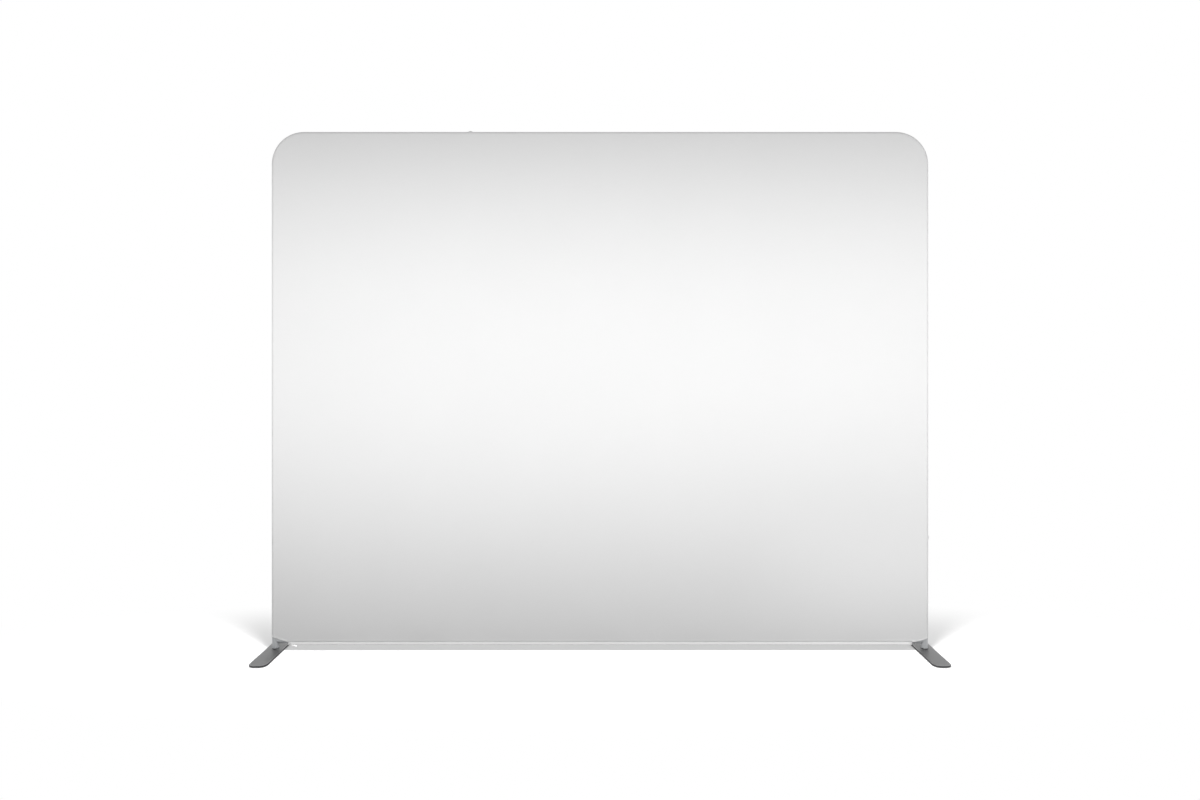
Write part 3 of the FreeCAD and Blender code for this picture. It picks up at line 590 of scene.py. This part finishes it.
def opening_line(hand):
    """The edge of a corner opening with the cloth's outward normal, from the front to the rear."""
    front = []
    for x in spread(opening_x, side_x, BINDING_STEP):
        front.append((Vector((hand * x, -cover_radius, opening_z(hand * x))), Vector((0, -1, 0))))
    for turn in spread(0, QUARTER, RIM_TURN)[1:]:
        x = hand * (side_x + cover_radius * math.sin(turn))
        normal = Vector((hand * math.sin(turn), -math.cos(turn), 0))
        front.append((Vector((x, -cover_radius * math.cos(turn), opening_z(x))), normal))
    rear = [(mirrored_y(point), mirrored_y(normal)) for point, normal in reversed(front[:-1])]
    return front + rear


def upward(stations, index):
    """Direction in the cloth, square to the line and away from the opening."""
    before, after = stations[max(0, index - 1)][0], stations[min(len(stations) - 1, index + 1)][0]
    across = stations[index][1].cross(after - before).normalized()
    return across if across.z > 0 else -across


def corner_binding(name, hand, material):
    """A folded strip over the raw edge of a corner opening, and the line of its stitches."""
    stations = opening_line(hand)
    points, stitch_line = [], []
    for index, (point, normal) in enumerate(stations):
        up = upward(stations, index)
        points += [point + up * rise + normal * out for rise, out in BINDING_PROFILE]
        lift = BINDING_PROFILE[1][1] + BINDING_CLOTH / 2
        stitch_line.append((point + up * BINDING_STITCH_UP + normal * lift, normal))
    faces = strip_faces(len(stations), len(BINDING_PROFILE), flipped=hand == LEFT)
    binding = made_piece(name, points, faces, material)
    thicken(binding, BINDING_CLOTH, 0)
    length = sum((b[0] - a[0]).length for a, b in zip(stations, stations[1:]))
    return binding, stitch_line, length


def tape_profile():
    """(y, z) of the middle of a zipper tape: down from behind the hem, then in under the rail."""
    hang = cover_radius - CLOTH - TAPE_CLOTH / 2
    flat_z = tape_low.z + TAPE_CLOTH / 2
    inner = -coil_high.y
    line = [(hang, hem_z + TAPE_UNDER_HEM)]
    for share in spread(0, 1, 1 / TAPE_LIP_STEPS):
        line.append((hang + TAPE_LIP * smooth(0, 1, share), hem_z - TAPE_LIP_RUN * share))
    face = hang + TAPE_LIP
    for turn in spread(0, QUARTER, TAPE_TURN):
        pulled, raised = 1 - math.cos(turn), 1 - math.sin(turn)
        line.append((face - TAPE_BEND * pulled, flat_z + TAPE_BEND * raised))
    line += [(y, flat_z) for y in spread(face - TAPE_BEND, inner, -TAPE_BEND)[1:]]
    return line


def zipper_tape(name, side, material):
    """One half of the zipper's tape along the hem."""
    profile = tape_profile()
    places = spread(-opening_x, opening_x, TAPE_STEP)
    points = [Vector((x, side * y, z)) for x in places for y, z in profile]
    tape = made_piece(name, points, strip_faces(len(places), len(profile), flipped=side == FRONT),
                      material)
    thicken(tape, TAPE_CLOTH, 0)
    width = sum(math.dist(a, b) for a, b in zip(profile, profile[1:]))
    return tape, width


def zipper_coil(name, side, material):
    """One coil of the zipper: a flattened helix whose heads mesh with the other coil's."""
    outer, inner = -coil_low.y - COIL_WIRE, -COIL_OVERLAP + COIL_WIRE
    centre_y, half_y = (outer + inner) / 2, (outer - inner) / 2
    centre_z = (coil_low.z + coil_high.z) / 2
    half_z = (coil_high.z - coil_low.z) / 2 - COIL_WIRE
    start = coil_low.x + (COIL_PITCH / 2 if side == REAR else 0)
    turns = int((coil_high.x - start) / COIL_PITCH)
    points = []
    for step in range(turns * COIL_SIDES + 1):
        turn = math.tau * step / COIL_SIDES
        out = Vector((0, math.cos(turn), math.sin(turn)))
        hub = Vector((start + COIL_PITCH * step / COIL_SIDES,
                      side * (centre_y + half_y * out.y), centre_z + half_z * out.z))
        for corner in range(WIRE_SIDES):
            angle = math.tau * corner / WIRE_SIDES
            ring = Vector((math.sin(angle), side * out.y * math.cos(angle), out.z * math.cos(angle)))
            points.append(hub + ring * COIL_WIRE)
    faces = []
    for step in range(turns * COIL_SIDES):
        for corner in range(WIRE_SIDES):
            first, beside = step * WIRE_SIDES + corner, step * WIRE_SIDES + (corner + 1) % WIRE_SIDES
            quad = (first, beside, beside + WIRE_SIDES, first + WIRE_SIDES)
            faces.append(quad if side == FRONT else quad[::-1])
    last = turns * COIL_SIDES * WIRE_SIDES
    start_cap, end_cap = tuple(range(WIRE_SIDES)), tuple(range(last, last + WIRE_SIDES))
    faces.append(start_cap[::-1] if side == FRONT else start_cap)
    faces.append(end_cap if side == FRONT else end_cap[::-1])
    return made_piece(name, points, faces, material)


def stitches(name, line, material):
    """A row of lockstitches: one small bead of thread every pitch, half sunk in the cloth."""
    points, faces = [], []
    for place, along, normal in even_stations(line, STITCH_PITCH):
        across = along.cross(normal).normalized()
        lift = along.cross(across).normalized()
        lift = lift if lift.dot(normal) > 0 else -lift
        first = len(points)
        points.append(place - along * STITCH_LENGTH / 2 - lift * STITCH_THREAD / 2)
        for end in (-STITCH_SHOULDER, STITCH_SHOULDER):
            for corner in range(STITCH_SIDES):
                angle = math.tau * corner / STITCH_SIDES
                ring = across * math.cos(angle) + lift * (math.sin(angle) + STITCH_RAISE)
                points.append(place + along * STITCH_LENGTH * end + ring * STITCH_THREAD)
        points.append(place + along * STITCH_LENGTH / 2 - lift * STITCH_THREAD / 2)
        tip, back = first, first + 1 + 2 * STITCH_SIDES
        for corner in range(STITCH_SIDES):
            here, beside = first + 1 + corner, first + 1 + (corner + 1) % STITCH_SIDES
            faces.append((tip, here, beside))
            faces.append((here, here + STITCH_SIDES, beside + STITCH_SIDES, beside))
            faces.append((back, beside + STITCH_SIDES, here + STITCH_SIDES))
    return made_piece(name, points, faces, material)


def hem_line(side):
    """The line of stitches that holds the hem's fold and the zipper tape."""
    up = HEM_STITCH_SHARE * HEM_WIDTH
    out = cover_radius + HEM_FOLD
    return [(Vector((x, side * (out + ripple(x, hem_z + up)), hem_z + up)), Vector((0, side, 0)))
            for x in spread(-opening_x + HEM_WIDTH, opening_x - HEM_WIDTH, TAPE_STEP)]


def make_cover():
    """The whole cover: two sheets sewn at the rim, bound corner openings and the zipper below."""
    cover, thread = cover_look(), thread_look()
    webbing = woven_look("corner_webbing", 0.77, 0.0013, "X")
    herringbone = woven_look("zipper_tape_weave", 0.96, 0.0011, "Y")
    filament = coil_look()
    for word, side in (("front", FRONT), ("rear", REAR)):
        panel, seam = cover_panel(f"cover_{word}", side, cover)
        hem = stitches(f"hem_stitches_{word}", hem_line(side), thread)
        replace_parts(panel, f"{word}_panel")
        tape, width = zipper_tape(f"tape_{word}", side, herringbone)
        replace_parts(tape, f"{word}_zipper_tape")
        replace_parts(zipper_coil(f"coil_{word}", side, filament), f"{word}_zipper_coil")
    stitches("seam_stitches", seam, thread)
    width = sum(math.dist(a, b) for a, b in zip(BINDING_PROFILE, BINDING_PROFILE[1:]))
    for word, hand in (("left", LEFT), ("right", RIGHT)):
        binding, line, length = corner_binding(f"binding_{word}", hand, webbing)
        sewn = stitches(f"binding_stitches_{word}", line, thread)
        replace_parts(binding, f"{word}_corner_hem")


# Leaf springs, one bent leaf behind each button

SPRING_SHEET = 0.0006
SPRING_NEAR = 0.05
SPRING_STEP = 0.006
SPRING_TURN = math.radians(10)


def spring_line(near, far, tail, reach):
    """(depth, along, bend) of a leaf's middle: under the button, round, and back by the far wall."""
    turn_radius = (far - near) / 2
    arm = [(near, along, 0.0) for along in spread(tail, reach - turn_radius, SPRING_STEP)]
    turned = []
    for turn in spread(0, math.pi, SPRING_TURN)[1:-1]:
        depth = near + turn_radius * (1 - math.cos(turn))
        turned.append((depth, reach - turn_radius * (1 - math.sin(turn)), turn))
    back = [(far, along, math.pi) for _, along, _ in reversed(arm)]
    return arm + turned + back


def leaf_spring(button, inward, material):
    """The bent leaf behind one snap button, as the frame's own spring there."""
    centre = middle(button)
    offsets = [vertex.co - centre for vertex in nodes["snap_springs"].data.vertices]
    solid = [offset for offset in offsets if offset.length < SPRING_NEAR]
    mean = sum(solid, Vector()) / len(solid)
    free = (mean - inward * mean.dot(inward)).normalized()
    across = inward.cross(free)
    depths, runs = [p.dot(inward) for p in solid], [p.dot(free) for p in solid]
    half_width, half_sheet = max(p.dot(across) for p in solid), SPRING_SHEET / 2
    line = spring_line(min(depths) + half_sheet, max(depths) - half_sheet,
                       min(runs), max(runs) - half_sheet)
    points = []
    for depth, along, bend in line:
        out = inward * -math.cos(bend) + free * math.sin(bend)
        for face, edge in ((1, 1), (1, -1), (-1, -1), (-1, 1)):
            points.append(centre + inward * depth + free * along + out * face * half_sheet
                          + across * edge * half_width)
    faces = [(0, 1, 2, 3), tuple(len(points) - i for i in (1, 2, 3, 4))]
    for start in range(0, len(points) - 4, 4):
        for corner, beside in ((0, 1), (1, 2), (2, 3), (3, 0)):
            faces.append((start + corner, start + 4 + corner, start + 4 + beside, start + beside))
    piece = mesh_object(f"{button}_spring", points, faces, material)
    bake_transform(piece)
    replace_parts(piece, "snap_springs")


def make_springs():
    """A leaf spring for every button."""
    steel = plated_look("spring_steel", (0.36, 0.37, 0.39), (0.5, 0.5, 0.52), 0.34)
    for joint in frame["joints"]:
        if joint["child"].endswith("_button"):
            leaf_spring(joint["child"], Vector(joint["axis"]), steel)


# Materials of the frame, feet and zipper slider

def give(material, *names):
    """Puts one material on each named node."""
    for name in names:
        mesh = nodes[name].data
        mesh.materials.clear()
        mesh.materials.append(material)


def named(*endings):
    """Nodes whose names end in one of these words."""
    return [name for name in nodes if name.endswith(endings)]


def dress_nodes():
    """A material for every node that stays in view."""
    give(tube_look("tube_upright", "Z"),
         *named("mid_upright", "lower_upright", "pole_upper", "pole_lower"))
    give(tube_look("tube_level", "X"), *named("centre_tube", "_rail"))
    give(bent_tube_look(), *named("corner_tube"))
    give(sleeve_look("sleeve_upright", "Z"), *named("upper_sleeve", "lower_sleeve", "pole_sleeve"))
    give(sleeve_look("sleeve_level", "X"), "top_left_sleeve", "top_right_sleeve",
         "bottom_left_sleeve", "bottom_right_sleeve")
    bright = plated_look("zinc_bright", (0.52, 0.52, 0.53), (0.66, 0.66, 0.66), 0.3)
    give(bright, "foot_bolts", "sleeve_rivets", *named("_button"))
    give(moulding_look("black_nylon", grey(0.04), grey(0.07)),
         "foot_washers", *named("_saddle", "end_plug"))
    give(foot_look(), *named("foot_plate"))
    give(pad_look(), *named("foot_pads"))
    give(nickel_look(), "zipper_slider", "zipper_pull", "zipper_stops")


# Floor, light and camera

FLOOR_REACH = 40.0
FLOOR_BOUNCE = 0.072
FLOOR_DIFFUSE = 0.4
FLOOR_GLOW = 0.245
SHADE_WIDE, SHADE_DEEP = 2.8, 0.65
SHADE_FADE = (0.5, 1.15)
AMBIENT = 0.42


def seen_directly(tree):
    """1 for rays from the camera and for what gloss or glass shows, 0 for rays that carry light."""
    path = tree.nodes.new("ShaderNodeLightPath")
    seen = path.outputs["Is Camera Ray"]
    for ray in ("Is Glossy Ray", "Is Transmission Ray"):
        most = tree.nodes.new("ShaderNodeMath")
        most.operation = "MAXIMUM"
        tree.links.new(seen, most.inputs[0])
        tree.links.new(path.outputs[ray], most.inputs[1])
        seen = most.outputs[0]
    return seen


def floor_look():
    """A pale sweep: plain white away from the object, and near it a floor that takes its shadow."""
    material = bpy.data.materials.new("studio_floor")
    material.use_nodes = True
    tree = material.node_tree
    tree.nodes.clear()

    def add(kind, **settings):
        made = tree.nodes.new("ShaderNode" + kind)
        for key, value in settings.items():
            setattr(made, key, value)
        return made

    def glow(strength):
        lamp = add("Emission")
        lamp.inputs["Strength"].default_value = strength
        return lamp.outputs[0]

    def matt(level):
        surface = add("BsdfDiffuse")
        surface.inputs["Color"].default_value = (*grey(level), 1)
        return surface.outputs[0]

    def mixed(share, first, second):
        blend = add("MixShader")
        for socket, value in zip(blend.inputs, (share, first, second)):
            tree.links.new(value, socket)
        return blend.outputs[0]

    where = add("Mapping")
    where.inputs["Scale"].default_value = (1 / SHADE_WIDE, 1 / SHADE_DEEP, 0)
    tree.links.new(add("TexCoord").outputs["Object"], where.inputs["Vector"])
    away = add("VectorMath", operation="LENGTH")
    tree.links.new(where.outputs[0], away.inputs[0])
    fade = add("MapRange", interpolation_type="SMOOTHSTEP")
    fade.inputs["From Min"].default_value, fade.inputs["From Max"].default_value = SHADE_FADE
    tree.links.new(away.outputs["Value"], fade.inputs["Value"])
    near = add("AddShader")
    tree.links.new(matt(FLOOR_DIFFUSE), near.inputs[0])
    tree.links.new(glow(FLOOR_GLOW), near.inputs[1])
    shown = mixed(fade.outputs[0], near.outputs[0], glow(1.0))
    surface = mixed(seen_directly(tree), matt(FLOOR_BOUNCE), shown)
    tree.links.new(surface, add("OutputMaterial").inputs["Surface"])
    return material


def make_floor():
    """One wide sheet under the object."""
    corners = [(-FLOOR_REACH, -FLOOR_REACH, 0), (FLOOR_REACH, -FLOOR_REACH, 0),
               (FLOOR_REACH, FLOOR_REACH, 0), (-FLOOR_REACH, FLOOR_REACH, 0)]
    floor = mesh_object("studio_floor", corners, [(0, 1, 2, 3)], floor_look())
    return floor


def make_world():
    """White where it is seen, a dim even light otherwise."""
    world = bpy.data.worlds.new("studio")
    world.use_nodes = True
    bpy.context.scene.world = world
    tree = world.node_tree
    background = tree.nodes["Background"]
    strength = tree.nodes.new("ShaderNodeMapRange")
    strength.inputs["To Min"].default_value = AMBIENT
    strength.inputs["To Max"].default_value = 1.0
    tree.links.new(seen_directly(tree), strength.inputs["Value"])
    background.inputs["Color"].default_value = (1, 1, 1, 1)
    tree.links.new(strength.outputs["Result"], background.inputs["Strength"])


def softbox(name, place, target, width, height, power):
    """An area lamp at a place, turned to a target, that the camera doesn't see."""
    data = bpy.data.lights.new(name, "AREA")
    data.shape, data.size, data.size_y, data.energy = "RECTANGLE", width, height, power
    lamp = bpy.data.objects.new(name, data)
    lamp.location = place
    lamp.rotation_euler = (Vector(target) - Vector(place)).to_track_quat("-Z", "Y").to_euler()
    lamp.visible_camera = False
    bpy.context.scene.collection.objects.link(lamp)
    return lamp


def keep_light_to(receiver, lamp):
    """The lamp lights one object only; the others still cast their shadows in it."""
    only = bpy.data.collections.new(f"{lamp.name}_receiver")
    only.objects.link(receiver)
    lamp.light_linking.receiver_collection = only


# Name, place, target, width, height and power of each lamp
LAMPS = (
    ("front_softbox", (0.48, -0.945, 1.37), (0.48, 0, 1.315), 6.0, 1.97, 52.8),
    ("rear_softbox", (0, 1.1, 1.34), (0, 0, 1.30), 6.0, 2.1, 58),
    ("top_softbox", (0, 0, 4.2), (0, 0, 0), 4.0, 2.0, 7),
    ("low_right", (1.45, -0.49, 0.34), (1.45, 0, -0.19), 1.1, 0.49, 0.6),
)
FLOOR_LAMP = ("floor_lamp", (0, -1.4, 4.0), (0, -1.4, 0), 0.8, 0.8, 490)

CAMERA_PLACE = (0, -3.45, 1.373)
CAMERA_LENS, SENSOR_WIDTH = 22.62, 36
HORIZON_ROW, IMAGE_WIDTH, IMAGE_HEIGHT = 350, 1200, 800


def make_camera():
    """Level, straight at the wall; the shift puts the horizon on its row of the picture."""
    data = bpy.data.cameras.new("camera")
    data.lens = CAMERA_LENS
    data.sensor_width = SENSOR_WIDTH
    data.shift_y = (HORIZON_ROW - IMAGE_HEIGHT / 2) / IMAGE_WIDTH
    camera = bpy.data.objects.new("camera", data)
    camera.location = CAMERA_PLACE
    camera.rotation_euler = (QUARTER, 0, 0)
    bpy.context.scene.collection.objects.link(camera)
    bpy.context.scene.camera = camera


bpy.context.scene.view_settings.view_transform = "Standard"
make_camera()
make_world()
keep_light_to(make_floor(), softbox(*FLOOR_LAMP))
for lamp in LAMPS:
    softbox(*lamp)
make_cover()
make_springs()
dress_nodes()
